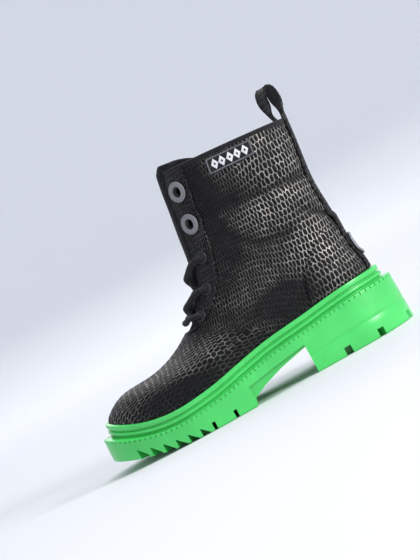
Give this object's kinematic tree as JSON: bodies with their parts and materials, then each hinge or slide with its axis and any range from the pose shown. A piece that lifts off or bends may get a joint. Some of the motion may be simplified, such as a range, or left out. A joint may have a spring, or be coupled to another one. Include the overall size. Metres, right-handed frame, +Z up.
{
  "type": "lace-up boot",
  "caption": "Child's left lace-up ankle boot on a chunky moulded lug sole, with a zip on the inner side, eyelet facings, a padded tongue and a pull loop at the back.",
  "frame": {"origin": "middle of the heel's tread, on the floor", "axes": "+X towards the toe, +Y towards the outer side of the foot, +Z up"},
  "size_m": [0.2344, 0.091, 0.1903],
  "materials": {
    "sole": "satin moulded green",
    "footbed": "matt woven",
    "upper": "scale embossed, dark metallic on the raised net",
    "facing": "scale embossed, matt",
    "counter": "scale embossed",
    "strip": "scale embossed",
    "tongue": "soft padded, lined",
    "eyelet_grey": "matt grey",
    "eyelet_black": "satin black",
    "lace": "braided cord",
    "label": "woven, pale edge",
    "badge": "moulded disc",
    "zip_tape": "twill tape",
    "zip_metal": "gloss black"
  },
  "bodies": {
    "boot": {"sole_unit": "sole", "insole": "footbed", "upper": "upper", "facing_outer": "facing", "facing_inner": "facing", "heel_counter": "counter", "back_strip_pull_loop": "strip", "tongue": "tongue", "eyelet_outer_1": "eyelet_grey", "eyelet_outer_2": "eyelet_grey", "eyelet_outer_3": "eyelet_black", "eyelet_outer_4": "eyelet_black", "eyelet_outer_5": "eyelet_black", "eyelet_inner_1": "eyelet_grey", "eyelet_inner_2": "eyelet_grey", "eyelet_inner_3": "eyelet_black", "eyelet_inner_4": "eyelet_black", "eyelet_inner_5": "eyelet_black", "lace_bar": "lace", "lace_cross_low": "lace", "lace_cross_high": "lace", "side_label": "label", "heel_badge": "badge", "zip_tape": "zip_tape", "zip_chain": "zip_metal", "zip_slider": "zip_metal"},
    "pull": {"zip_pull": "zip_metal"}
  },
  "joints": [
    {"name": "pull_hinge", "type": "hinge", "parent": "boot", "child": "pull", "pos_m": [0.02785, -0.03622, 0.15019], "axis": [-0.9917, -0.1069, -0.0717], "range_deg": [-4, 160]}
  ]
}
